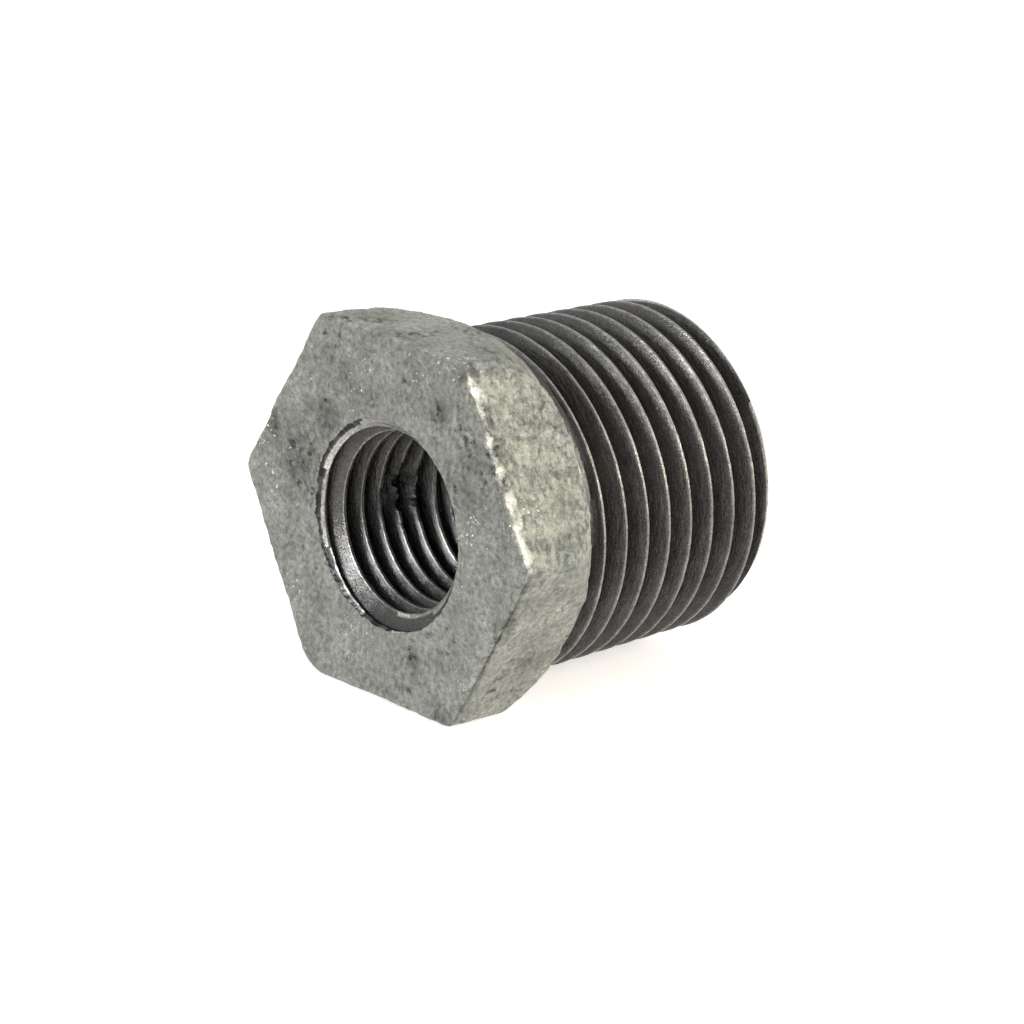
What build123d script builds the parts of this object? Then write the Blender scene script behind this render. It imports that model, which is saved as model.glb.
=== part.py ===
from build123d import *
from math import ceil, cos, pi, radians, sin, sqrt, tan
import os

os.makedirs("parts", exist_ok=True)

# A hexagon bushing: a cast head on a short pipe-threaded shank, with a smaller pipe thread
# tapped through its middle. Millimetres. The common thread axis is Y. The head's front face
# is the plane Y = 0, the shank points to +Y, and two of the head's flats are level.

# ---- pipe thread form, the same for both threads ----
TAPER = 1 / 32  # radius lost per millimetre of length, the 1:16 taper of a pipe thread
FLANK = 30.0  # each flank leans this far from square to the axis, in degrees
THREAD_DEPTH = 0.8  # nominal depth in pitches
LIP = 0.04  # how far a cutter's flanks run on past the crests
STEPS_PER_TURN = (16, 20, 13, 24)  # points on one turn of a cutter's path, the usual one first

# ---- outside thread, 1/2-14 ----
male_pitch = 25.4 / 14
male_end_pitch_diameter = 19.264  # at the small end of the shank
male_crest_flat = 0.15
male_root_flat = 0.10
male_cutter_proud = 0.10  # how far the cutter stands clear of the crests
male_run_out_turns = 1.0  # the last turn, next to the head, gets shallower
male_groove_at_top = 8.63  # where a groove's middle crosses the top line of the shank

# ---- inside thread, 1/4-18 ----
female_pitch = 25.4 / 18
female_mouth_pitch_diameter = 12.487  # at the head's front face
female_crest_flat = 0.14
female_root_flat = 0.18
female_cutter_proud = 0.15
female_depth = 11.4  # the last groove ends here
female_run_out_turns = 2.2  # left by the lead of the tap
female_groove_at_top = 1.1
mouth_land = 0.03  # the countersink reaches this far beyond the groove's root
bore_end_chamfer = 0.4

# ---- head ----
head_across_flats = 23.2
head_length = 6.7
head_corner_radius = 0.9
head_edge_radius = 0.35  # round the rim of the front face
head_full_corner = 3.6  # the corners keep their full height to here
shoulder_bevel_radius = 11.75  # where the rear bevel meets the collar
shoulder_bevel_end = 6.05
collar_radius = 11.45
collar_edge_radius = 0.25
head_offset_x = -0.35  # the hexagon's middle, off the thread axis
head_offset_z = 0.31

# ---- shank ----
overall_length = 23.1
end_chamfer_radius = 9.3  # the flat ring on the shank's end reaches to here
end_slope = 1.0  # of the bevel outside that ring

male_depth = THREAD_DEPTH * male_pitch
female_depth_of_thread = THREAD_DEPTH * female_pitch


def male_crest(y):
    """Radius of the outside thread's crests."""
    return (male_end_pitch_diameter + male_depth) / 2 + (overall_length - y) * TAPER


def female_crest(y):
    """Radius of the inside thread's crests."""
    return (female_mouth_pitch_diameter - female_depth_of_thread) / 2 - y * TAPER


def groove_depth(pitch, crest_flat, root_flat):
    """Depth between flats of these widths, where the flanks lean by FLANK."""
    return (pitch - crest_flat - root_flat) / 2 / tan(radians(FLANK))


def groove_path(pitch, first_y, last_y, groove_at_top, radius_at, run_out_turns, lift, steps):
    """Points of a right-hand helix from first_y to last_y, moved off by lift in its last turns."""
    sense = 1 if last_y > first_y else -1
    turns = abs(last_y - first_y) / pitch
    count = ceil(turns * steps)
    start = pi / 2 - 2 * pi * (first_y - groove_at_top) / pitch
    points = []
    for i in range(count + 1):
        turn = turns * i / count
        y = first_y + sense * turn * pitch
        leaving = max(0.0, turn - (turns - run_out_turns)) / run_out_turns
        radius = radius_at(y) + lift * leaving
        angle = start - sense * 2 * pi * turn
        points.append((radius * cos(angle), y, radius * sin(angle)))
    return points


def groove_cutter(points, pitch, crest_flat, root_flat, proud, outward):
    """A solid of the groove's section swept along its path; outward is 1 for a groove in a bore."""
    half_width = (pitch - crest_flat) / 2
    depth = groove_depth(pitch, crest_flat, root_flat)
    open_half = half_width + LIP * tan(radians(FLANK))
    with BuildPart() as cutter:
        with BuildLine() as path:
            Spline(*[Vector(*p) for p in points])
        wire = path.wires()[0]
        first = Vector(*points[0])
        radial = Vector(first.X, 0, first.Z)
        with BuildSketch(Plane(origin=first, x_dir=radial, z_dir=wire % 0)):
            with BuildLine():
                Polyline(
                    (-proud * outward, -open_half),
                    (-proud * outward, open_half),
                    (-LIP * outward, open_half),
                    (depth * outward, root_flat / 2),
                    (depth * outward, -root_flat / 2),
                    (-LIP * outward, -open_half),
                    close=True,
                )
            make_face()
        sweep(is_frenet=True)
    return cutter.part


def threaded(blank, path, section):
    """The blank with a thread cut in it. Where a cut does not take, the path's points are moved."""
    for steps in STEPS_PER_TURN:
        cutter = groove_cutter(groove_path(*path, steps), *section)
        try:
            with BuildPart() as turned:
                add(blank)
                add(cutter, mode=Mode.SUBTRACT)
        except ValueError:
            continue
        taken = (blank.volume - turned.part.volume) / cutter.volume
        if turned.part.is_valid and len(turned.solids()) == 1 and 0.4 < taken < 1:
            return turned.part
    raise ValueError("the thread could not be cut")


RUN_OUT_LIFT = 1.12  # a groove leaves the metal after this many thread depths
SPARE = 2.0  # pitches of stock beyond each end, turned away once the threads are cut
stock_end = overall_length + SPARE * male_pitch
stock_front = -SPARE * female_pitch
stock_root = head_length / 2

# ---- shank with its outside thread ----
with BuildPart() as shank_blank:
    with BuildSketch(Plane.XY):
        with BuildLine():
            Polyline(
                (0, stock_root),
                (male_crest(stock_root), stock_root),
                (male_crest(stock_end), stock_end),
                (0, stock_end),
                close=True,
            )
        make_face()
    revolve(axis=Axis.Y)

with BuildPart() as shank:
    add(
        threaded(
            shank_blank.part,
            (
                male_pitch,
                overall_length + male_pitch,
                head_length - 0.2 * male_pitch,
                male_groove_at_top,
                male_crest,
                male_run_out_turns,
                male_depth * RUN_OUT_LIFT,
            ),
            (male_pitch, male_crest_flat, male_root_flat, male_cutter_proud, -1),
        )
    )

# ---- head: a hexagon cast a little off the thread axis, turned at its back to a bevel and a
# collar that run true with the shank ----
head_front = Plane(
    origin=(head_offset_x, 0, head_offset_z), x_dir=(1, 0, 0), z_dir=(0, 1, 0)
)
with BuildPart() as head:
    with BuildSketch(head_front):
        hexagon = RegularPolygon(head_across_flats / 2, 6, major_radius=False)
        fillet(hexagon.vertices(), head_corner_radius)
    extrude(amount=head_length)
    rim = head.faces().sort_by(Axis.Y)[0].edges()
    fillet(rim, head_edge_radius)
    with BuildSketch(Plane.XY):
        with BuildLine():
            Polyline(
                (0, -1),
                (head_across_flats, -1),
                (head_across_flats, head_full_corner),
                (head_across_flats / sqrt(3) * 1.005, head_full_corner),
                (shoulder_bevel_radius, shoulder_bevel_end),
                (collar_radius, head_length - collar_edge_radius),
                (collar_radius - collar_edge_radius, head_length),
                (0, head_length),
                close=True,
            )
        make_face()
    revolve(axis=Axis.Y, mode=Mode.INTERSECT)

# ---- head and shank in one, turned to length, with the space for the tapped bore ----
tapped_end = female_depth + 0.7 * female_pitch  # the taper stops here, and the bore runs on straight
drill_radius = female_crest(tapped_end)
female_groove = groove_depth(female_pitch, female_crest_flat, female_root_flat)
mouth = female_crest(0) + female_groove + mouth_land
bore_end = drill_radius + bore_end_chamfer
wide = head_across_flats
with BuildPart() as body:
    add(shank.part)
    add(head.part)
    with BuildSketch(Plane.XY):
        with BuildLine():
            Polyline(
                (0, overall_length),
                (end_chamfer_radius, overall_length),
                (end_chamfer_radius + wide, overall_length - wide * end_slope),
                (wide * 2, stock_end + 1),
                (0, stock_end + 1),
                close=True,
            )
        make_face()
    revolve(axis=Axis.Y, mode=Mode.SUBTRACT)
    with BuildSketch(Plane.XY):
        with BuildLine():
            Polyline(
                (0, 0),
                (mouth, 0),
                (bore_end, overall_length),
                (0, overall_length),
                close=True,
            )
        make_face()
    revolve(axis=Axis.Y, mode=Mode.SUBTRACT)

# ---- the wall of the bore: reamed to the taper, tapped from the front, countersunk ----
sleeve_radius = mouth + 2

with BuildPart() as sleeve_blank:
    with BuildSketch(Plane.XY):
        with BuildLine():
            Polyline(
                (female_crest(stock_front), stock_front),
                (drill_radius, tapped_end),
                (drill_radius, stock_end),
                (sleeve_radius, stock_end),
                (sleeve_radius, stock_front),
                close=True,
            )
        make_face()
    revolve(axis=Axis.Y)

with BuildPart() as sleeve:
    add(
        threaded(
            sleeve_blank.part,
            (
                female_pitch,
                -female_pitch,
                female_depth,
                female_groove_at_top,
                female_crest,
                female_run_out_turns,
                -female_depth_of_thread * RUN_OUT_LIFT,
            ),
            (female_pitch, female_crest_flat, female_root_flat, female_cutter_proud, 1),
        )
    )
    with BuildSketch(Plane.XY):
        with BuildLine():
            Polyline(
                (0, stock_front - 1),
                (wide, stock_front - 1),
                (wide, 0),
                (mouth, 0),
                (0, mouth),
                close=True,
            )
        make_face()
        with BuildLine():
            Polyline(
                (0, overall_length - bore_end),
                (bore_end, overall_length),
                (wide, overall_length),
                (wide, stock_end + 1),
                (0, stock_end + 1),
                close=True,
            )
        make_face()
    revolve(axis=Axis.Y, mode=Mode.SUBTRACT)


def reach(face):
    """How far a face gets from the thread axis."""
    box = face.bounding_box()
    return max(box.max.X, box.max.Z, -box.min.X, -box.min.Z)


# the bore's wall takes the place of the plain space: they share the mouth's and the end's rims
outside = [
    f for f in body.faces() if f.geom_type != GeomType.CONE or reach(f) > mouth + 0.01
]
wall = [
    f
    for f in sleeve.faces()
    if f.geom_type != GeomType.PLANE and reach(f) < sleeve_radius - 0.01
]
with BuildPart() as hex_bushing:
    add(Solid(Shell(outside + wall)))

hex_bushing.part.label = "hex_bushing"
export_step(hex_bushing.part, "parts/hex_bushing.step")
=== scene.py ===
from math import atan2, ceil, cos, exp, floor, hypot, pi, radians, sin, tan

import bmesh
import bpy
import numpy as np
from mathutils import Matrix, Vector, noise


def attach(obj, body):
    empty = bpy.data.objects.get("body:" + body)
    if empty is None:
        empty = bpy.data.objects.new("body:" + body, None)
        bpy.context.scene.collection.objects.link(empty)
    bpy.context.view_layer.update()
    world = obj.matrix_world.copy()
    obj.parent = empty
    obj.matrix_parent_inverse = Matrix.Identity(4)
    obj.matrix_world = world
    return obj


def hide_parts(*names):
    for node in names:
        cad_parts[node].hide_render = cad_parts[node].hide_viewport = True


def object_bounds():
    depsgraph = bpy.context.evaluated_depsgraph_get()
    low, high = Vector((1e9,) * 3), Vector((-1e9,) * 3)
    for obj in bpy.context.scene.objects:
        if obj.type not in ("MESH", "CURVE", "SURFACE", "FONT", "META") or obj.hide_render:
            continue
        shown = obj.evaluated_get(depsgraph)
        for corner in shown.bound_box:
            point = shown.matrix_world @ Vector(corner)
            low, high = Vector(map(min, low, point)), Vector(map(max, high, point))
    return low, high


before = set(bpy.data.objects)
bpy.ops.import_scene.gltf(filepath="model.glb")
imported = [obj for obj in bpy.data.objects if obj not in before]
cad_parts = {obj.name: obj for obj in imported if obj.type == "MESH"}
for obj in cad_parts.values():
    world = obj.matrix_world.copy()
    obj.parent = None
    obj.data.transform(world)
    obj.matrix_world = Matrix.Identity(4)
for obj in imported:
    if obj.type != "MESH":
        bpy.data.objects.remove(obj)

# %% [markdown]
# A hexagon bushing is a small pipe fitting: a cast head for the wrench on a short shank with a
# tapered pipe thread outside, and a smaller tapered thread inside. It is one piece of malleable
# iron, dipped in zinc as it came from the mould and threaded afterwards, so the head is pale,
# lumpy zinc and the threads are dark, clean-cut iron. The imported solid gives its true size, and
# one piece that stands for it is made here, with the cast skin and the marks of the threading.
# First come the imports, and the imported box is kept, because the cast lumps are held inside it.

cad_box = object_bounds()
NODE = "hex_bushing"
print("packed box in mm:", [[round(v * 1000, 2) for v in c] for c in cad_box])

# %% [markdown]
# Node trees are long when they are written by hand. One small function adds a node, sets its
# settings, fills or links its inputs and gives back one output. It serves Geometry Nodes and
# materials alike. Colours are written as on a paint card, in sRGB, and turned to the linear
# values that Blender mixes light in.


# %% Small helpers
def add(tree, kind, inputs=(), out=0, **settings):
    """Adds a node; inputs maps a socket's name or place to a value or to another output."""
    node = tree.nodes.new(kind)
    for key, value in settings.items():
        setattr(node, key, value)
    for socket, value in dict(inputs).items():
        if isinstance(value, bpy.types.NodeSocket):
            tree.links.new(value, node.inputs[socket])
        else:
            node.inputs[socket].default_value = value
    return node if out is None else node.outputs[out]


def colour(code):
    """An sRGB hex colour as linear red, green, blue and full alpha."""
    parts = [int(code[i : i + 2], 16) / 255 for i in (1, 3, 5)]
    return [c / 12.92 if c <= 0.04045 else ((c + 0.055) / 1.055) ** 2.4 for c in parts] + [1]


def per(mm):
    """The scale of a noise whose lumps are about this many millimetres wide."""
    return 1000 / mm


print("helpers ready; mid grey is", [round(c, 3) for c in colour("#808080")])

# %% [markdown]
# Both finishes are painted in layers from the bottom up: a layer either scales the colour below
# it, or mixes another colour in. Where a layer shows is told by noise, and a table lists each
# noise by the width of its lumps in millimetres, its octaves and how strong the fine ones are.


# %% Layers of colour
def blank_material(name):
    """A new material with an empty node tree, and that tree."""
    material = bpy.data.materials.new(name)
    material.use_nodes = True
    material.node_tree.nodes.clear()
    return material, material.node_tree


def painted(tree, base, layers):
    """The base colour under layers, each a field and the colour it mixes in, or None."""
    for field, over in layers:
        if over is None:
            base = add(tree, "ShaderNodeVectorMath", {0: base, "Scale": field},
                       operation="SCALE")
        else:
            base = add(tree, "ShaderNodeMix", {"Factor": field, "A": base, "B": colour(over)},
                       out=2, data_type="RGBA")
    return base


print("colours can be laid over each other")

# %% [markdown]
# The zinc. Hot-dip galvanised malleable iron is a metal, but its zinc has gone dull: it throws
# back soft, cloudy light, in patches a few millimetres wide, with dark pits where the sand of the
# mould left its grain and bright specks where the zinc stands proud. Metallic stays high,
# roughness is that of dull zinc, and the pits and specks are noise cut off near its top. The
# head's mesh carries three marks that the zinc reads: grime and painted shade; wear and a painted
# highlight along the rim; and, where the zinc ran and froze in wrinkles, a flat painted lighter
# as if lit, with painted highlights on the wrinkles.

# %% Hot-dip zinc on cast iron
MATTE_ZINC = "#93958f"
DULL_ZINC = "#797c76"
GRIME_AND_SHADE = "#50534d"
PIT = "#2b2d2a"
BRIGHT_ZINC = "#e6e6df"
# painted highlight on the wrinkles of the flat where the zinc ran
WRINKLE_HIGHLIGHT_ZINC = "#cfcebd"
ZINC_NOISES = {
    "clouds": (2.8, 8, 0.68),
    "grain": (0.36, 6, 0.75),
    "specks": (0.24, 3, 0.6),
    "drifts": (4.5, 2, 0.5),
    "pits": (0.75, 7, 0.72),
    "blobs": (1.1, 6, 0.75),
}
ZINC_BUMP = 0.00032


def zinc_skin():
    """Galvanised cast iron: cloudy grey zinc with sand grain, grimy pits and bright specks, with
    painted shade, highlight and light where the marks say.
    """
    material, tree = blank_material("galvanised_cast_iron")
    place = add(tree, "ShaderNodeTexCoord", out="Object")
    noises = {
        field: add(tree, "ShaderNodeTexNoise",
                  {"Vector": place, "Scale": per(wide), "Detail": octaves, "Roughness": rough})
        for field, (wide, octaves, rough) in ZINC_NOISES.items()
    }
    grimed_and_shaded, rubbed_and_highlit, ran = (
        add(tree, "ShaderNodeAttribute", out="Fac", attribute_name=mark)
        for mark in ("grimed_and_shaded", "rubbed_and_highlit", "wrinkled_and_lit")
    )
    # specks and pits come in drifts: the fine noise counts most where the wide one is high
    specks = add(tree, "ShaderNodeMath", {0: noises["drifts"], 1: 0.5, 2: noises["specks"]},
                 operation="MULTIPLY_ADD")
    pits = add(tree, "ShaderNodeMath", {0: noises["drifts"], 1: -0.5, 2: noises["pits"]},
               operation="MULTIPLY_ADD")
    # painted shade: the grimed mark is grime in hollows and also shade on the top and right of
    # the front face and in the crease along the lower flat
    pits = add(tree, "ShaderNodeMath", {0: grimed_and_shaded, 1: 0.13, 2: pits},
               operation="MULTIPLY_ADD")
    cloudy = add(tree, "ShaderNodeMapRange",
                 {"Value": noises["clouds"], "From Min": 0.36, "From Max": 0.60})
    grained = add(tree, "ShaderNodeMapRange",
                  {"Value": noises["grain"], "From Min": 0.36, "From Max": 0.64, "To Min": 0.52,
                   "To Max": 1.42})
    grimy_and_shaded = add(tree, "ShaderNodeMapRange",
                {"Value": pits, "From Min": 0.33, "From Max": 0.45, "To Max": 0.65})
    tarnish_and_shade = add(tree, "ShaderNodeMapRange", {"Value": grimed_and_shaded, "To Min": 1, "To Max": 0.52})
    dark = add(tree, "ShaderNodeMapRange",
               {"Value": pits, "From Min": 0.42, "From Max": 0.47, "To Max": 0.9})
    bright = add(tree, "ShaderNodeMapRange",
                 {"Value": specks, "From Min": 0.95, "From Max": 1.0, "To Max": 0.9})
    # handling rubs the zinc bright along the rim, in patches; along the ridge of the flat on the
    # right the same patches are a painted highlight
    patchy = add(tree, "ShaderNodeMapRange",
                 {"Value": noises["clouds"], "From Min": 0.40, "From Max": 0.58, "To Min": 0.35,
                  "To Max": 1.15})
    rubbed_and_highlit = add(tree, "ShaderNodeMath", {0: rubbed_and_highlit, 1: patchy}, operation="MULTIPLY")
    rubbed_and_highlit = add(tree, "ShaderNodeMath", {0: rubbed_and_highlit, 1: noises["blobs"]}, operation="MULTIPLY")
    rubbed_and_highlit = add(tree, "ShaderNodeMapRange",
                 {"Value": rubbed_and_highlit, "From Min": 0.25, "From Max": 0.50, "To Max": 0.8})
    # the zinc ran here and froze in wrinkles about a millimetre apart; the flat is painted
    # lighter as if lit from the right, and the wrinkles carry a painted highlight
    painted_light_on_flat = add(tree, "ShaderNodeMapRange",
                {"Value": ran, "From Min": 0.2, "To Min": 1, "To Max": 1.40})
    wrinkles = add(tree, "ShaderNodeMath", {0: ran, 1: noises["blobs"]}, operation="MULTIPLY")
    run_highlight = add(tree, "ShaderNodeMapRange",
                     {"Value": wrinkles, "From Min": 0.48, "From Max": 0.62, "To Max": 0.6})
    base = add(tree, "ShaderNodeMix",
               {"Factor": cloudy, "A": colour(DULL_ZINC), "B": colour(MATTE_ZINC)},
               out=2, data_type="RGBA")
    base = painted(tree, base, (
        (grained, None), (grimy_and_shaded, GRIME_AND_SHADE), (tarnish_and_shade, None), (dark, PIT), (bright, BRIGHT_ZINC),
        (rubbed_and_highlit, BRIGHT_ZINC), (painted_light_on_flat, None), (run_highlight, WRINKLE_HIGHLIGHT_ZINC),
    ))
    dull = add(tree, "ShaderNodeMapRange",
               {"Value": noises["grain"], "From Min": 0.3, "From Max": 0.7, "To Min": 0.42,
                "To Max": 0.66})
    height = noises["grain"]
    for field, share in ((pits, -1.3), (specks, 0.3), (wrinkles, 6.0)):
        height = add(tree, "ShaderNodeMath", {0: field, 1: share, 2: height},
                     operation="MULTIPLY_ADD")
    bump = add(tree, "ShaderNodeBump",
               {"Height": height, "Strength": 0.9, "Distance": ZINC_BUMP})
    surface = add(tree, "ShaderNodeBsdfPrincipled",
                  {"Base Color": base, "Metallic": 0.8, "Roughness": dull, "Normal": bump})
    add(tree, "ShaderNodeOutputMaterial", {"Surface": surface}, out=None)
    return material


zinc = zinc_skin()
print("material", zinc.name, "with", len(zinc.node_tree.nodes), "nodes")

# %% [markdown]
# The threads. They are cut through the zinc after dipping, so their flanks are bare machined
# iron, darkened by cutting oil and time to charcoal. The die rubs the crests, which come out as
# thin bright lines, painted partly as worn metal and partly as a glint, and its teeth leave fine
# rings that follow the thread. The tree that makes a thread writes how deep each point lies, and
# the material reads that: 0 on a crest and 1 at the root, towards which the iron is painted
# darker as shade in the groove. Where the thread runs out, the crests still carry the zinc of the
# casting. The dust of the real iron is finer than the picture can show, so it is drawn an eighth
# of a millimetre wide.

# %% Machined iron for the two threads
OILED_IRON = "#444342"
SHADED_ROOT_IRON = "#343333"
RUBBED_CREST_GLINT = "#bdbbb8"
TURNED_IRON = "#9a9995"
TORN_GAP_SHADE = "#121212"
IRON_NOISES = {"stains": (1.2, 8, 0.82), "nicks": (0.35, 4, 0.7), "dust": (0.13, 3, 0.7)}
RING_SQUEEZE = 0.12  # a tool mark's width along the axis is this share of its length round it
IRON_BUMP = 0.0001


def cut_iron(name, crest_wear_and_glint, dullest, zinc_from, zinc_to):
    """Iron as a die or tap leaves it, crests painted as wear and glint, roots and gaps as shade;
    zinc stays on crests from one Y to the other.
    """
    material, tree = blank_material(name)
    place = add(tree, "ShaderNodeTexCoord", out="Object")
    depth = add(tree, "ShaderNodeAttribute", out="Fac", attribute_name="depth")
    noises = {
        field: add(tree, "ShaderNodeTexNoise",
                  {"Vector": place, "Scale": per(wide), "Detail": octaves, "Roughness": rough})
        for field, (wide, octaves, rough) in IRON_NOISES.items()
    }
    ringed = add(tree, "ShaderNodeMapping",
                 {"Vector": place, "Scale": (RING_SQUEEZE, 1, RING_SQUEEZE)})
    rings = add(tree, "ShaderNodeTexNoise",
                {"Vector": ringed, "Scale": per(0.16), "Detail": 3, "Roughness": 0.7})
    # what the mark for depth says: sunk towards the root and painted darker there as shade, torn
    # past it and painted nearly black there as shade in the gap, turned below nought
    sunk = add(tree, "ShaderNodeMapRange",
               {"Value": depth, "From Min": 0.2, "From Max": 1.0})
    torn = add(tree, "ShaderNodeMapRange",
               {"Value": depth, "From Min": 1.05, "From Max": 1.5, "To Max": 0.9})
    turned = add(tree, "ShaderNodeMapRange",
                 {"Value": depth, "From Min": -0.5, "From Max": -0.1, "To Min": 1,
                  "To Max": 0})
    # painted glint: the crests are painted bright, partly as worn metal and partly as a highlight
    worn_and_glinting = add(tree, "ShaderNodeMapRange",
               {"Value": depth, "From Min": 0.0, "From Max": 0.1, "To Min": crest_wear_and_glint,
                "To Max": 0})
    off_crest = add(tree, "ShaderNodeMath", {0: depth}, operation="ABSOLUTE")
    blank = add(tree, "ShaderNodeMapRange",
                {"Value": off_crest, "From Max": 0.05, "To Min": 1, "To Max": 0})
    # near the head the die only grazed the crests, so they keep flakes of zinc
    along = add(tree, "ShaderNodeSeparateXYZ", {0: place}, out="Y")
    near = add(tree, "ShaderNodeMapRange",
               {"Value": along, "From Min": zinc_from / 1000, "From Max": zinc_to / 1000,
                "To Min": 1, "To Max": 0})
    away = add(tree, "ShaderNodeMath", {0: near, 1: -0.85, 2: 1}, operation="MULTIPLY_ADD")
    broken = add(tree, "ShaderNodeMapRange",
                 {"Value": noises["nicks"], "From Min": 0.36, "From Max": 0.56, "To Min": 0.5})
    flaked = add(tree, "ShaderNodeMapRange",
                 {"Value": noises["nicks"], "From Min": 0.50, "From Max": 0.60, "To Max": 0.8})
    for field in (broken, away):
        worn_and_glinting = add(tree, "ShaderNodeMath", {0: worn_and_glinting, 1: field}, operation="MULTIPLY")
    kept = near
    for field in (blank, flaked):
        kept = add(tree, "ShaderNodeMath", {0: kept, 1: field}, operation="MULTIPLY")
    stained = add(tree, "ShaderNodeMapRange",
                  {"Value": noises["stains"], "From Min": 0.32, "From Max": 0.68, "To Min": 0.6,
                   "To Max": 1.4})
    dusty = add(tree, "ShaderNodeMapRange",
                {"Value": noises["dust"], "From Min": 0.34, "From Max": 0.66, "To Min": 0.6,
                 "To Max": 1.45})
    shade = add(tree, "ShaderNodeMath", {0: stained, 1: dusty}, operation="MULTIPLY")
    # painted shade: the iron darkens towards the root of the groove
    base = add(tree, "ShaderNodeMix",
               {"Factor": sunk, "A": colour(OILED_IRON), "B": colour(SHADED_ROOT_IRON)},
               out=2, data_type="RGBA")
    base = painted(tree, base, (
        (torn, TORN_GAP_SHADE), (turned, TURNED_IRON), (worn_and_glinting, RUBBED_CREST_GLINT), (shade, None),
        (kept, MATTE_ZINC),
    ))
    gloss = add(tree, "ShaderNodeMapRange",
                {"Value": noises["stains"], "From Min": 0.35, "From Max": 0.65,
                 "To Min": dullest, "To Max": dullest - 0.17})
    scored = add(tree, "ShaderNodeMapRange",
                 {"Value": rings, "From Min": 0.35, "From Max": 0.65, "To Min": -0.05,
                  "To Max": 0.09})
    gloss = add(tree, "ShaderNodeMath", {0: gloss, 1: scored}, operation="ADD")
    height = add(tree, "ShaderNodeMath", {0: noises["dust"], 1: 0.5, 2: rings},
                 operation="MULTIPLY_ADD")
    bump = add(tree, "ShaderNodeBump",
               {"Height": height, "Strength": 0.5, "Distance": IRON_BUMP})
    surface = add(tree, "ShaderNodeBsdfPrincipled",
                  {"Base Color": base, "Metallic": 0.6, "Roughness": gloss, "Normal": bump})
    add(tree, "ShaderNodeOutputMaterial", {"Surface": surface}, out=None)
    return material


outside_iron = cut_iron("die_cut_iron", 0.28, 0.35, 6.8, 7.7)
inside_iron = cut_iron("tapped_iron", 0.35, 0.30, -1.0, -0.5)  # no zinc on its crests
print("materials", outside_iron.name, "and", inside_iron.name)

# %% [markdown]
# A screw thread is the clearest case of a shape that follows a rule. Its wall could be a profile
# swept along a helix, but the ends of a sweep are open and hard to close. Here a flat grid is
# bent instead: across it lies the angle, and along it the length. The rows are slanted by one
# pitch per turn, so that a row runs along a crest all the way round, as the tool did, and the
# crests stay crisp with few points. Past either end the rows are held at the end's plane, where
# they fall together and are merged, and this closes the wall in a true circle.
#
# One tree makes both threads. Its inputs are the sizes on a thread's drawing, and a sign tells it
# whether grooves go into a shank (-1) or out into the wall of a bore (1).

# %% The steps of a pipe thread's wall
COLUMNS = 360
TEARS_PER_MM = 0.9
MERGE = 0.004  # mm, far less than the step between two points of a thread
THREAD_INPUTS = (
    "Pitch", "Crest Radius", "Taper", "Taper Ends", "Groove", "Groove At Top", "Side",
    "Starts At", "Ends At", "First Row", "Turns", "Run Out From", "Run Out Slope",
    "Rim Radius", "Rim At", "Ragged",
)

# Each row is one step of arithmetic: its result's name, the operation, and what goes in, which
# is a number, an input of the tree or an earlier result.
WALL_STEPS = (
    ("u", "ADD", "across", 0.5),  # part of a turn, from the +X side
    ("v", "ADD", "along", 0.5),  # part of the length
    # where along the axis: a row keeps its place in the thread, so it climbs as it goes round
    ("row", "MULTIPLY_ADD", "v", "Turns", "First Row"),
    ("from top", "SUBTRACT", "u", 0.25),
    ("climbed", "SUBTRACT", "row", "from top"),
    ("free y", "MULTIPLY_ADD", "climbed", "Pitch", "Groove At Top"),
    ("y below", "MINIMUM", "free y", "Ends At"),
    ("y", "MAXIMUM", "y below", "Starts At"),
    # how far from a groove's middle, in pitches: 0 in the groove and a half on the crest
    ("past", "SUBTRACT", "y", "Groove At Top"),
    ("pitches", "DIVIDE", "past", "Pitch"),
    ("turn", "ADD", "pitches", "from top"),
    ("moved on", "ADD", "turn", 0.5),
    ("part", "FRACT", "moved on"),
    ("either way", "SUBTRACT", "part", 0.5),
    ("off", "ABSOLUTE", "either way"),
    # the groove: two straight flanks, a flat at the root, shallower in the run-out
    ("half turns", "MULTIPLY", "Turns", 0.5),
    ("steps", "SUBTRACT", "Rows", 1),
    ("flat half", "DIVIDE", "half turns", "steps"),
    ("crest edge", "SUBTRACT", 0.5, "flat half"),
    ("inwards", "SUBTRACT", "crest edge", "off"),
    ("flank", "MULTIPLY_ADD", "flat half", -2, 0.5),
    ("slope", "DIVIDE", "inwards", "flank"),
    ("at most 1", "MINIMUM", "slope", 1),
    ("shape", "MULTIPLY", "at most 1", "Groove"),
    ("into run-out", "SUBTRACT", "y", "Run Out From"),
    ("risen", "MULTIPLY", "into run-out", "Run Out Slope"),
    ("lift", "MAXIMUM", "risen", 0),
    ("lifted", "SUBTRACT", "shape", "lift"),
    ("cut", "MAXIMUM", "lifted", 0),
    # the crests of a tapered thread
    ("tapered y", "MINIMUM", "y", "Taper Ends"),
    ("fallen", "MULTIPLY", "tapered y", "Taper"),
    ("crest", "SUBTRACT", "Crest Radius", "fallen"),
    ("angle", "MULTIPLY", "u", 2 * pi),
    ("cosine", "COSINE", "angle"),
    ("sine", "SINE", "angle"),
    ("crest x", "MULTIPLY", "cosine", "crest"),
    ("crest z", "MULTIPLY", "sine", "crest"),
)
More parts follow.
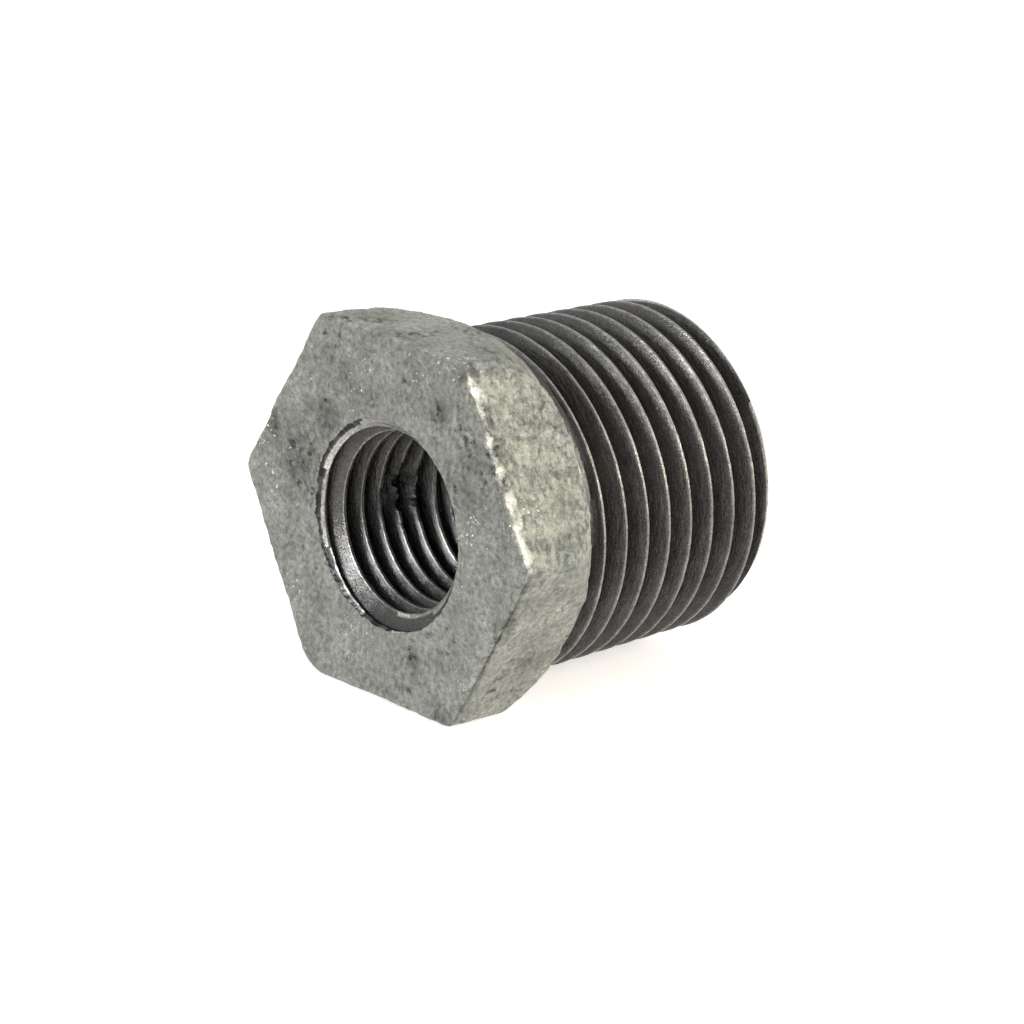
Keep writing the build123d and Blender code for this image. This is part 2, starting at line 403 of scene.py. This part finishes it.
TEAR_STEPS = (
    # the crests are a little ragged where the tool tore the iron
    ("even torn", "SUBTRACT", "torn", 0.5),
    ("tear", "MULTIPLY", "even torn", "Ragged"),
    ("less tear", "SUBTRACT", "cut", "tear"),
    ("proud", "MULTIPLY", "tear", -1),
    ("sink", "MAXIMUM", "less tear", "proud"),
    ("wall", "MULTIPLY_ADD", "sink", "Side", "crest"),
    # the chamfer at the open end: a 45 degree cone that cuts across the turns
    ("from rim", "SUBTRACT", "y", "Rim At"),
    ("rim distance", "ABSOLUTE", "from rim"),
    ("cone change", "MULTIPLY", "rim distance", "Side"),
    ("cone", "SUBTRACT", "Rim Radius", "cone change"),
    ("side wall", "MULTIPLY", "wall", "Side"),
    ("side cone", "MULTIPLY", "cone", "Side"),
    ("side radius", "MAXIMUM", "side wall", "side cone"),
    ("radius", "MULTIPLY", "side radius", "Side"),
    ("x", "MULTIPLY", "cosine", "radius"),
    ("z", "MULTIPLY", "sine", "radius"),
    # the mark for depth is 0 on a crest, 1 at the root and -1 on the chamfer
    ("cone over wall", "SUBTRACT", "side cone", "side wall"),
    ("turned", "GREATER_THAN", "cone over wall", 0),
    ("sunk", "DIVIDE", "cut", "Groove"),
    ("not turned", "SUBTRACT", 1, "turned"),
    ("thread depth", "MULTIPLY", "sunk", "not turned"),
    ("depth", "SUBTRACT", "thread depth", "turned"),
)
print(len(WALL_STEPS) + len(TEAR_STEPS), "steps from a flat grid to a thread")


# %% The tree of a pipe thread's wall
def thread_tree():
    """Bends a slanted grid into the wall of a tapered thread, in millimetres."""
    tree = bpy.data.node_groups.new("pipe_thread_wall", "GeometryNodeTree")
    for name in THREAD_INPUTS:
        tree.interface.new_socket(name, in_out="INPUT", socket_type="NodeSocketFloat")
    tree.interface.new_socket("Rows", in_out="INPUT", socket_type="NodeSocketInt")
    tree.interface.new_socket("Seed", in_out="INPUT", socket_type="NodeSocketFloat")
    tree.interface.new_socket("Finish", in_out="INPUT", socket_type="NodeSocketMaterial")
    tree.interface.new_socket("Wall", in_out="OUTPUT", socket_type="NodeSocketGeometry")
    given = add(tree, "NodeGroupInput", out=None).outputs
    grid = add(tree, "GeometryNodeMeshGrid",
               {"Size X": 1, "Size Y": 1, "Vertices X": COLUMNS + 1,
                "Vertices Y": given["Rows"]}, out="Mesh")
    flat = add(tree, "ShaderNodeSeparateXYZ", {0: add(tree, "GeometryNodeInputPosition")},
               out=None).outputs
    known = {name: given[name] for name in THREAD_INPUTS + ("Rows",)}
    known.update(across=flat["X"], along=flat["Y"])
    for name, operation, *values in WALL_STEPS:
        known[name] = add(tree, "ShaderNodeMath",
                          {i: known.get(value, value) for i, value in enumerate(values)},
                          operation=operation)
    around = add(tree, "ShaderNodeCombineXYZ",
                 {0: known["crest x"], 1: known["y"], 2: known["crest z"]})
    known["torn"] = add(tree, "ShaderNodeTexNoise",
                        {"Vector": around, "W": given["Seed"], "Scale": TEARS_PER_MM,
                         "Detail": 4, "Roughness": 0.6}, noise_dimensions="4D")
    for name, operation, *values in TEAR_STEPS:
        known[name] = add(tree, "ShaderNodeMath",
                          {i: known.get(value, value) for i, value in enumerate(values)},
                          operation=operation)
    place = add(tree, "ShaderNodeCombineXYZ",
                {0: known["x"], 1: known["y"], 2: known["z"]})
    marked = add(tree, "GeometryNodeStoreNamedAttribute",
                 {"Geometry": grid, "Name": "depth", "Value": known["depth"]},
                 data_type="FLOAT", domain="POINT")
    bent = add(tree, "GeometryNodeSetPosition", {"Geometry": marked, "Position": place})
    closed = add(tree, "GeometryNodeMergeByDistance", {"Geometry": bent, "Distance": MERGE})
    real = add(tree, "GeometryNodeRealizeInstances", {"Geometry": closed})
    done = add(tree, "GeometryNodeSetMaterial",
               {"Geometry": real, "Material": given["Finish"]})
    add(tree, "NodeGroupOutput", {"Wall": done}, out=None)
    return tree


thread_wall = thread_tree()
print("tree", thread_wall.name, "with", len(thread_wall.nodes), "nodes")

# %% [markdown]
# A modifier carries the tree, and its inputs are set by the sockets' identifiers before Blender
# first looks at the object. The result is then taken off as a plain mesh. The first row and the
# number of turns are worked out so that the rows sit on the crests' edges and reach past both
# ends of the thread.


# %% A thread's wall as a plain mesh
IN_PLANE = 0.005  # mm; merging moves the points of a rim off its plane by less than this


def thread_mesh(name, rows_per_pitch, **sizes):
    """Runs the tree with these sizes and gives its result as an object with a plain mesh."""
    pitch, top = sizes["pitch"], sizes["groove_at_top"]
    first = (sizes["starts_at"] - top) / pitch - 0.25
    first = (floor(first * rows_per_pitch - 0.5) + 0.5) / rows_per_pitch
    turns = (sizes["ends_at"] - top) / pitch + 0.75 - first
    steps = ceil(turns * rows_per_pitch)
    sizes.update(first_row=first, turns=steps / rows_per_pitch, rows=steps + 1)
    blank = bpy.data.objects.new(name, bpy.data.meshes.new(name))
    bpy.context.scene.collection.objects.link(blank)
    modifier = blank.modifiers.new("thread", "NODES")
    modifier.node_group = thread_wall
    for socket in thread_wall.interface.items_tree:
        if socket.in_out == "INPUT":
            value = sizes[socket.name.lower().replace(" ", "_")]
            if socket.socket_type == "NodeSocketFloat":
                value = float(value)
            modifier[socket.identifier] = value
    graph = bpy.context.evaluated_depsgraph_get()
    mesh = bpy.data.meshes.new_from_object(blank.evaluated_get(graph))
    blank.modifiers.remove(modifier)
    blank.data = mesh
    print(name, "has", len(mesh.vertices), "points and", len(mesh.polygons), "faces")
    return blank


def rim(thread, y):
    """The ring of points of a thread's wall that lies in the plane of this y, by degree."""
    points = np.array([v.co for v in thread.data.vertices])
    points = points[np.abs(points[:, 1] - y) < IN_PLANE]
    degree = np.round(np.degrees(np.arctan2(points[:, 2], points[:, 0]))).astype(int) % COLUMNS
    ring = np.zeros((COLUMNS, 3))
    ring[degree] = points
    print(thread.name, "ring at", y, "mm has", len(points), "points")
    return ring


print("a thread can be made from its sizes")

# %% [markdown]
# The sizes are those on a drawing. A crest stands off the pitch line by half a thread's depth,
# and the radius of a pipe thread falls a millimetre in 32. The taper of the bore stops a little
# behind the last groove, and from there the bore runs on straight.

# %% The two threads
TAPER = 1 / 32
LENGTH = 23.1
HEAD_BACK = 6.7
MALE_PITCH = 25.4 / 14
FEMALE_PITCH = 25.4 / 18
TAPPED_END = 12.39
MALE_CREST = 11.0796  # radius of the crests, carried on to y = 0
FEMALE_CREST = 5.679
MOUTH_RADIUS = 6.654
END_FACE_RADIUS = 9.3
outside = thread_mesh(
    "outside_thread", 12, pitch=MALE_PITCH, crest_radius=MALE_CREST, taper=TAPER,
    taper_ends=LENGTH, groove=1.345, groove_at_top=8.63, side=-1, starts_at=HEAD_BACK,
    ends_at=LENGTH, run_out_from=7.7, run_out_slope=-1.5, rim_radius=END_FACE_RADIUS,
    rim_at=LENGTH, ragged=0.10, seed=3, finish=outside_iron,
)
inside = thread_mesh(
    "inside_thread", 8, pitch=FEMALE_PITCH, crest_radius=FEMALE_CREST, taper=TAPER,
    taper_ends=TAPPED_END, groove=0.93, groove_at_top=1.1, side=1, starts_at=0,
    ends_at=TAPPED_END, run_out_from=8.296, run_out_slope=0.407, rim_radius=MOUTH_RADIUS,
    rim_at=0, ragged=0.12, seed=8, finish=inside_iron,
)
back_ring, end_ring = rim(outside, HEAD_BACK), rim(outside, LENGTH)
mouth_ring, bore_ring = rim(inside, 0), rim(inside, TAPPED_END)

# %% [markdown]
# The head is a casting, so nothing on it is quite flat or sharp. It is laid as a stack of rings,
# each with the same 360 points as the threads: out over the front face, round the rim, back along
# the six flats and down the shoulder to the shank. A ring's outline is a hexagon with rounded
# corners, and towards the back the turned shoulder takes over from it. The smaller of two shapes
# is taken softly, which rounds the edge between them as molten iron does.

# %% Outline of the hexagon
CENTRE = np.array([-0.35, 0.0, 0.31])  # the hexagon's middle, a little off the thread axis
FLAT = 23.2 / 2  # from the middle to a flat
CORNERS = (0.6, 0.6, 1.6, 1.1, 2.2, 0.9)  # roundings, from the +X corner upwards and round
RIM = 0.34  # rounding of the front face's edge
THETA = np.radians(np.arange(COLUMNS))
AROUND = np.stack([np.cos(THETA), np.zeros(COLUMNS), np.sin(THETA)], 1)
WIDEST = 12.0  # mm, about the radius where two shapes meet; it keeps the powers of e small


def hexagon(inset=0.0):
    """Distance of the rounded hexagon's outline from its middle, for every column."""
    flat = FLAT - inset
    corner = np.array(CORNERS)[np.round(np.degrees(THETA) / 60).astype(int) % 6] - inset
    off = np.radians(np.abs((np.degrees(THETA) + 30) % 60 - 30))  # from the nearest corner
    middle = (flat - corner) / cos(pi / 6)
    tangent = pi / 6 - np.arctan((flat - corner) * tan(pi / 6) / flat)
    straight = flat / np.cos(pi / 6 - off)
    reach = np.clip(corner**2 - (middle * np.sin(off)) ** 2, 0, None)
    return np.where(off > tangent, straight, middle * np.cos(off) + np.sqrt(reach))


def softly(a, b, sharp=14.0):
    """The smaller of two sizes, with the edge between them rounded."""
    return WIDEST - np.log(np.exp(-sharp * (a - WIDEST)) + np.exp(-sharp * (b - WIDEST))) / sharp


def from_axis(reach):
    """Distances from the hexagon's middle as distances from the thread axis, by degree."""
    ring = CENTRE + AROUND * reach[:, None]
    angle = np.degrees(np.arctan2(ring[:, 2], ring[:, 0]))
    far = np.hypot(ring[:, 0], ring[:, 2])
    return np.interp(np.degrees(THETA), angle, far, period=360)


print("the hexagon reaches", round(hexagon().max(), 2), "mm from its middle")

# %% Rings of the head
SHOULDER = [(0, 13.6), (2.6, 13.5), (3.6, 13.2), (4.4, 12.85), (5.3, 12.35), (6.0, 11.85),
            (6.3, 11.66), (6.55, 11.46), (6.66, 11.2)]  # y and radius
TRUED_OVER = 1.5  # mm in which the columns slide from the hexagon's middle to the axis
FACE_STEPS, RIM_STEPS, FLAT_STEPS = 24, 5, 34
rings, cover = [mouth_ring], [0.0]  # cover is how much of the cast lumps a ring takes
inner = CENTRE + AROUND * hexagon(RIM)[:, None]
for step in range(1, FACE_STEPS + 1):
    part = step / FACE_STEPS
    rings.append(mouth_ring * (1 - part) + inner * part)
    cover.append(min(1.0, 4 * part))
for step in range(1, RIM_STEPS + 1):
    lean = step / RIM_STEPS * pi / 2
    ring = CENTRE + AROUND * hexagon(RIM * (1 - sin(lean)))[:, None]
    ring[:, 1] = RIM * (1 - cos(lean))
    rings.append(ring)
    cover.append(1.0)
cast = CENTRE + AROUND * hexagon()[:, None]
for y in np.linspace(RIM, SHOULDER[-1][0], FLAT_STEPS + 1)[1:]:
    shoulder = np.full(COLUMNS, np.interp(y, *zip(*SHOULDER)))
    trim = softly(from_axis(hexagon()), shoulder)
    trued = min(1.0, (y - RIM) / TRUED_OVER)
    ring = cast * (1 - trued) + AROUND * trim[:, None] * trued
    ring[:, 1] = y
    rings.append(ring)
    cover.append(1.0)
shoulder_edge = rings[-1]
for part in (0.3, 0.65, 1.0):
    ring = shoulder_edge * (1 - part) + back_ring * part
    ring[:, 1] = HEAD_BACK
    rings.append(ring)
    cover.append(1 - part)
print("the head has", len(rings), "rings of", COLUMNS, "points")

# %% [markdown]
# The small end of the shank is faced and its bore is left as drilled. These rings go inwards from
# the thread's last ring, over the end face and its two broken edges, and forwards through the
# bore to the last ring of the inside thread.

# %% Rings of the shank's end and the plain bore
DRILL_RADIUS = 5.292
BREAK = 0.4  # the broken edge of the bore
end_rings = [end_ring]
for radius, y in ((8.6, LENGTH), (7.6, LENGTH), (6.6, LENGTH), (DRILL_RADIUS + BREAK, LENGTH),
                  (DRILL_RADIUS + BREAK / 2, LENGTH - BREAK / 2),
                  (DRILL_RADIUS, LENGTH - BREAK), (DRILL_RADIUS, 20.0), (DRILL_RADIUS, 17.5),
                  (DRILL_RADIUS, 15.0)):
    end_rings.append(AROUND * radius + np.array([0, y, 0]))
end_rings.append(bore_ring)
print("the end has", len(end_rings), "rings")

# %% [markdown]
# One function lays a skin of quads over a stack of rings, point to point. The shank's end is
# turned iron without a thread, so it carries the same mark for depth as a chamfer.


# %% Skin laid over rings
def skin(name, loops, finish):
    """A mesh of quads between closed rings that have the same number of points."""
    points = np.concatenate(loops)
    faces = [
        (a + i, a + (i + 1) % COLUMNS, a + COLUMNS + (i + 1) % COLUMNS, a + COLUMNS + i)
        for a in range(0, len(points) - COLUMNS, COLUMNS)
        for i in range(COLUMNS)
    ]
    mesh = bpy.data.meshes.new(name)
    mesh.from_pydata(points.tolist(), [], faces)
    mesh.materials.append(finish)
    thing = bpy.data.objects.new(name, mesh)
    bpy.context.scene.collection.objects.link(thing)
    print(name, "has", len(points), "points and", len(faces), "faces")
    return thing


head = skin("cast_head", rings, zinc)
shank_end = skin("shank_end", end_rings, outside_iron)
TURNED = -1.0  # the mark for depth on turned iron
mark = shank_end.data.attributes.new("depth", "FLOAT", "POINT")
mark.data.foreach_set("value", np.full(len(end_rings) * COLUMNS, TURNED))

# %% [markdown]
# The cast skin is made lumpy by moving its points along their normals, by noise of three sizes:
# swells a few millimetres wide, bulges of about one, and a grain under a millimetre. The flat
# that hung lowest in the zinc bath also carries wrinkled zinc that ran while it cooled. The cover
# of each ring fades all this out towards the cut edges, so that they still meet.

# %% Lumps in the cast skin
RAN_FLAT = pi / 6  # the way the flat faces on which the zinc ran, up from +X
LOWER_FLAT = -pi / 6
TOP_FLAT = pi / 2


def lump(point):
    """Height of the skin at a point, in millimetres."""
    # the vectors added to the point keep one noise from following another
    swell = noise.noise(point * 0.30 + Vector((3, 1, 7))) * 0.08
    bulge = noise.noise(point * 0.85 + Vector((9, 4, 2))) * 0.07
    grain = noise.fractal(point * 1.9, 0.7, 2.1, 4) * 0.045
    facing = Vector((point.x - CENTRE[0], 0, point.z - CENTRE[2])).normalized()
    behind_rim = min(1.0, max(0.0, (point.y - 0.1) / 0.5))
    ran = facing.dot(Vector((cos(RAN_FLAT), 0, sin(RAN_FLAT))))
    ran = min(1.0, max(0.0, (ran - 0.86) / 0.1)) * behind_rim
    run = noise.fractal(Vector((point.x * 1.1, point.y * 2.4, point.z * 1.1)), 0.6, 2.0, 4)
    lower = facing.dot(Vector((cos(LOWER_FLAT), 0, sin(LOWER_FLAT))))
    lower = max(0.0, lower - 0.86) / 0.14 * behind_rim
    slant = Vector((point.x * 1.6 + point.y, point.y - point.x * 0.5, point.z * 0.7))
    rough = noise.fractal(slant, 0.8, 2.0, 3)
    return swell + bulge + grain + ran * run * 0.15 + lower * rough * 0.08 - 0.02


mesh = head.data
mesh.update()
normals = np.zeros(len(mesh.vertices) * 3)
mesh.vertices.foreach_get("normal", normals)
normals = normals.reshape(-1, 3)
if normals[COLUMNS * 5 : COLUMNS * 6, 1].mean() > 0:
    normals = -normals  # on the front face they have to point to -Y
points = np.concatenate(rings)
weights = np.repeat(cover, COLUMNS)
heights = np.array([lump(Vector(p)) for p in points]) * weights
print("lumps from", round(heights.min(), 3), "to", round(heights.max(), 3), "mm")

# %% [markdown]
# The zinc gathered in a broken ridge along the rim of the flat where it ran. Grime settled in
# hollows of the front face; broad painted shade darkens the top and right of that face and the
# crease along the rim of the flat below, and the top flat is made a little darker. Each of these
# is a number for every point: some of them move the point, and the mesh carries three of them as
# attributes that the zinc reads.

# %% Ridge, grime, painted shade and wrinkles
# the last three, broad and faint, are painted shade on the top and right of the front face
GRIMED_AND_SHADED_HOLLOWS = (  # x, z and a radius in mm, and how much grime or painted shade
    (-8.3, 2.0, 2.3, 1.0), (-5.8, 5.6, 1.4, 1.0), (4.4, 8.4, 0.9, 1.0), (2.8, -7.9, 0.7, 1.0),
    (6.4, 11.3, 0.9, 0.9), (11.2, -3.8, 1.1, 0.9), (5.6, -10.8, 1.2, 0.8),
    (-11.0, 3.4, 1.2, 1.0), (-4.4, 8.3, 0.8, 0.9), (9.0, 5.0, 4.5, 0.50),
    (-4.0, 8.5, 3.8, 0.38), (3.0, 9.5, 4.0, 0.38),
)
HOLLOW_DEPTH = 0.10
LUMP_ALLOWANCE = 0.15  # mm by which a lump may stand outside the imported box
ring_number = np.repeat(np.arange(len(rings)), COLUMNS)


def on_flat(facing):
    """For every point: 1 on the flat that faces this way, and 0 on its neighbours."""
    return np.tile(np.clip((np.cos(THETA - facing) - 0.84) / 0.06, 0, 1), len(rings))


near_rim = np.clip(1 - np.abs(ring_number - FACE_STEPS - RIM_STEPS) / 7, 0, None)
where_ran = on_flat(RAN_FLAT)
uneven = np.array([noise.fractal(Vector(p) * 2.2 + Vector((0, 5, 0)), 0.7, 2.0, 3)
                   for p in points])
heights += near_rim * where_ran * np.clip(0.03 + 0.34 * uneven, -0.12, 0.20)

# painted shade in the crease along the rim of the lower flat; the top flat is made a little
# darker
grime_and_shade = np.maximum(0.95 * on_flat(LOWER_FLAT) * np.clip(4 * near_rim - 3, 0, 1),
                   0.22 * on_flat(TOP_FLAT) * (points[:, 1] > 0.2))
for x, z, wide, strength in GRIMED_AND_SHADED_HOLLOWS:
    far = np.hypot(points[:, 0] - x, points[:, 2] - z)
    grime_and_shade = np.maximum(grime_and_shade, strength * np.exp(-((far / wide) ** 2)) * (points[:, 1] < 1.2))
heights -= HOLLOW_DEPTH * grime_and_shade * weights

on_flats = ring_number > FACE_STEPS + 3
marks = {
    "rubbed_and_highlit": near_rim * (0.25 + 0.75 * where_ran),
    "grimed_and_shaded": grime_and_shade,
    "wrinkled_and_lit": on_flats * np.clip(0.15 + where_ran + 0.10 * on_flat(LOWER_FLAT), 0, 1),
}
for name, values in marks.items():
    mesh.attributes.new(name, "FLOAT", "POINT").data.foreach_set("value", values)
points = points + normals * heights[:, None]
low, high = [np.array(c) * 1000 for c in cad_box]
points = np.clip(points, low - LUMP_ALLOWANCE, high + LUMP_ALLOWANCE)
mesh.vertices.foreach_set("co", points.ravel())
mesh.update()
print("heights from", round(heights.min(), 3), "to", round(heights.max(), 3), "mm")

# %% [markdown]
# The four skins are joined, and the rings that they share are laid exactly in their planes and
# merged. It is now one closed piece, as the real one is.

# %% One closed piece
RING_MERGE = 0.008  # mm
bpy.ops.object.select_all(action="DESELECT")
for thing in (outside, inside, shank_end, head):
    thing.select_set(True)
bpy.context.view_layer.objects.active = head
bpy.ops.object.join()
bushing = bpy.context.view_layer.objects.active
bushing.name = bushing.data.name = "bushing"
work = bmesh.new()
work.from_mesh(bushing.data)
for vert in work.verts:
    for plane in (0, HEAD_BACK, TAPPED_END, LENGTH):
        if abs(vert.co.y - plane) < IN_PLANE:
            vert.co.y = plane
bmesh.ops.remove_doubles(work, verts=work.verts, dist=RING_MERGE)
bmesh.ops.dissolve_degenerate(work, edges=work.edges, dist=0.0005)
bmesh.ops.recalc_face_normals(work, faces=work.faces)
open_edges = sum(1 for e in work.edges if len(e.link_faces) != 2)
print("edges that are not shared by two faces:", open_edges)
print("volume in mm3:", round(work.calc_volume(signed=True), 1))

# %% [markdown]
# Threading leaves damage. The rim of the mouth is chipped, most on the side where the tap broke
# through the zinc, and inside two turns were torn, which leaves a gap in their ridges. Both push
# points outwards into the wall and set the mark for depth past 1, which the iron shows nearly
# black, as painted shade along the chips and in the gap.

# %% Chips and a torn patch
CHIPS_RADIUS, CHIPPED_SIDE = 6.65, radians(195)
DARK_RADIUS = 6.6
TORN_SIDE, TORN_Y = radians(186), 6.0
TORN_ROUND, TORN_ALONG = 1.1, 1.2  # half the size of the patch in mm, round and along
WALL_RADIUS = 5.5  # of the bore, where it was torn
BORE_FROM, BORE_TO = 5, 8.2  # mm from the axis, between which the bore and its mouth lie
depth = work.verts.layers.float["depth"]


def push_out(vert, angle, by):
    """Moves a point away from the thread axis."""
    vert.co.x += by * cos(angle)
    vert.co.z += by * sin(angle)


def chip(vert, x, y, z, far, angle):
    """Breaks the rim of the mouth here and paints shade along its edge."""
    near = max(0.0, 1 - abs(far - CHIPS_RADIUS) / 0.55) * max(0.0, 1 - y / 0.8)
    if near == 0:
        return
    side = 0.35 + 0.65 * max(0.0, cos(angle - CHIPPED_SIDE))
    chipped = noise.fractal(Vector((x * 1.3, 4.0, z * 1.3)), 0.5, 2.1, 4)
    push_out(vert, angle, near * side * (0.08 + 0.20 * chipped))
    if y < 0.2 and abs(far - DARK_RADIUS) < 0.25 and side > 0.45:
        vert[depth] = 1.5 if chipped > -0.25 else 0.4


def tear(vert, x, y, z, far, angle):
    """Digs the ridge away here if the point lies in the torn patch, and paints shade into the
    gap.
    """
    turn_off = (angle - TORN_SIDE + pi) % (2 * pi) - pi
    gap = exp(-((turn_off * WALL_RADIUS / TORN_ROUND) ** 2) - ((y - TORN_Y) / TORN_ALONG) ** 2)
    if gap < 0.02 or far > 6.6 or y < 1:
        return
    rough = 0.5 + noise.fractal(Vector((x, y, z)) * 1.1, 0.8, 2.0, 3)
    dug = min(1.0, gap * 1.6) * min(1.0, max(0.0, rough * 1.3))
    push_out(vert, angle, 0.45 * dug * max(0.0, 1 - vert[depth]))
    vert[depth] = max(vert[depth], min(1.6, 2.2 * dug))


for vert in work.verts:
    x, y, z = vert.co
    far, angle = hypot(x, z), atan2(z, x)
    if y > LENGTH - 0.01:
        vert[depth] = TURNED  # the rim of the faced end is turned all the way round
    if BORE_FROM <= far <= BORE_TO:
        chip(vert, x, y, z, far, angle)
        tear(vert, x, y, z, far, angle)
print("marks for depth reach", round(max(vert[depth] for vert in work.verts), 2))

# %% [markdown]
# The whole is turned from millimetres to metres, its faces are shaded smooth with the sharp edges
# kept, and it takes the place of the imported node.

# %% The bushing in its place
work.to_mesh(bushing.data)
work.free()
bushing.data.transform(Matrix.Scale(0.001, 4))
bushing.data.shade_smooth()
bushing.data.set_sharp_from_angle(angle=radians(38))
print("triangles:", sum(len(p.vertices) - 2 for p in bushing.data.polygons))
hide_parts(NODE)
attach(bushing, "root")

# %% [markdown]
# The table top is white and so is all round it, as in a shop's catalogue. The floor is lit like
# the rest and keeps the bushing's soft shadow; for the camera alone it glows a little, so that it
# comes out as white paper.

# %% Floor and surroundings
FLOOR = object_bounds()[0].z
HALF = 3.0  # metres, far past the edges of the picture
PAPER_GLOW = 0.45
SKY_LIGHT = 0.29  # the sky's strength as a light; the camera sees it at 1, as plain white
floor_mesh = bpy.data.meshes.new("floor")
floor_mesh.from_pydata([(-HALF, -HALF, FLOOR), (HALF, -HALF, FLOOR), (HALF, HALF, FLOOR),
                        (-HALF, HALF, FLOOR)], [], [(0, 1, 2, 3)])
table_top = bpy.data.objects.new("floor", floor_mesh)
bpy.context.scene.collection.objects.link(table_top)

paper = bpy.data.materials.new("white_paper")
paper.use_nodes = True
tree = paper.node_tree
tree.nodes.clear()
rays = add(tree, "ShaderNodeLightPath", out=None).outputs
seen = add(tree, "ShaderNodeMath", {0: rays["Is Camera Ray"], 1: rays["Is Glossy Ray"]},
           operation="MAXIMUM")
glow = add(tree, "ShaderNodeMath", {0: seen, 1: PAPER_GLOW}, operation="MULTIPLY")
surface = add(tree, "ShaderNodeBsdfPrincipled",
              {"Base Color": colour("#f4f4f4"), "Roughness": 0.9,
               "Emission Color": colour("#ffffff"), "Emission Strength": glow})
add(tree, "ShaderNodeOutputMaterial", {"Surface": surface}, out=None)
floor_mesh.materials.append(paper)

world = bpy.data.worlds.new("studio")
bpy.context.scene.world = world
world.use_nodes = True
tree = world.node_tree
tree.nodes.clear()
rays = add(tree, "ShaderNodeLightPath", out=None).outputs
seen = add(tree, "ShaderNodeMath", {0: rays["Is Camera Ray"], 1: rays["Is Transmission Ray"]},
           operation="MAXIMUM")
seen = add(tree, "ShaderNodeMath", {0: seen, 1: rays["Is Glossy Ray"]}, operation="MAXIMUM")
strength = add(tree, "ShaderNodeMapRange", {"Value": seen, "To Min": SKY_LIGHT, "To Max": 1.0})
sky = add(tree, "ShaderNodeBackground", {"Color": colour("#ffffff"), "Strength": strength})
add(tree, "ShaderNodeOutputWorld", {"Surface": sky}, out=None)
print("floor at", round(FLOOR * 1000, 2), "mm")

# %% [markdown]
# Soft boxes are area lamps: the larger, the softer. The strongest stands at the front and a
# little above, where it looks into the bore and rakes the near flanks of both threads. A warmer
# one to the right lights the right-hand flats, and a weak one behind softens the top.


# %% Lamps
MIDDLE = (0, 0.011, 0)  # about the middle of the bushing, in metres


def soft_box(name, towards, distance, size, power, tint="#ffffff"):
    """An area lamp in this direction from the bushing, which it faces."""
    lamp = bpy.data.lights.new(name, "AREA")
    lamp.shape, lamp.size, lamp.energy = "SQUARE", size, power
    lamp.color = colour(tint)[:3]
    box = bpy.data.objects.new(name, lamp)
    back = Vector(towards).normalized()
    box.location = Vector(MIDDLE) + back * distance
    box.rotation_euler = (-back).to_track_quat("-Z", "Y").to_euler()
    bpy.context.scene.collection.objects.link(box)
    print(name, "at", [round(v, 3) for v in box.location])


soft_box("back_right_box", (0.50, 0.55, 0.66), 0.6, 0.35, 0.8, "#fff8ee")
soft_box("right_box", (0.88, 0.30, 0.36), 0.6, 0.30, 4.6, "#fff5e4")
soft_box("front_box", (-0.08, -0.93, 0.30), 0.7, 0.22, 5.8)

# %% [markdown]
# The camera stands half to the side, a little above, with a long lens, so the bushing's lines
# stay nearly parallel. It looks along a direction given by two angles and is turned a little
# about its own axis; three distances set the bushing's place in the picture.

# %% Camera
AZIMUTH, ELEVATION, ROLL = radians(48.20), radians(18.53), radians(2.21)
LENS = 268.6
AIM = Vector((0, 6.858, 0))  # on the thread axis, close behind the head
SHIFT_RIGHT, SHIFT_UP, DISTANCE = 2.47, -0.41, 468.87
back = Vector((sin(AZIMUTH) * cos(ELEVATION), -cos(AZIMUTH) * cos(ELEVATION), sin(ELEVATION)))
right = (-back).cross(Vector((0, 0, 1))).normalized()
up = right.cross(-back)
right, up = (right * cos(ROLL) + up * sin(ROLL)), (up * cos(ROLL) - right * sin(ROLL))
eye = AIM + right * SHIFT_RIGHT + up * SHIFT_UP + back * DISTANCE
camera = bpy.data.objects.new("camera", bpy.data.cameras.new("camera"))
bpy.context.scene.collection.objects.link(camera)
camera.data.lens, camera.data.sensor_width = LENS, 36
camera.data.clip_start, camera.data.clip_end = 0.01, 20
turn = Matrix((right, up, back)).transposed().to_4x4()
camera.matrix_world = Matrix.Translation(eye / 1000) @ turn
bpy.context.scene.camera = camera
bpy.context.scene.view_settings.view_transform = "Standard"
print("camera at", [round(v, 3) for v in camera.location])
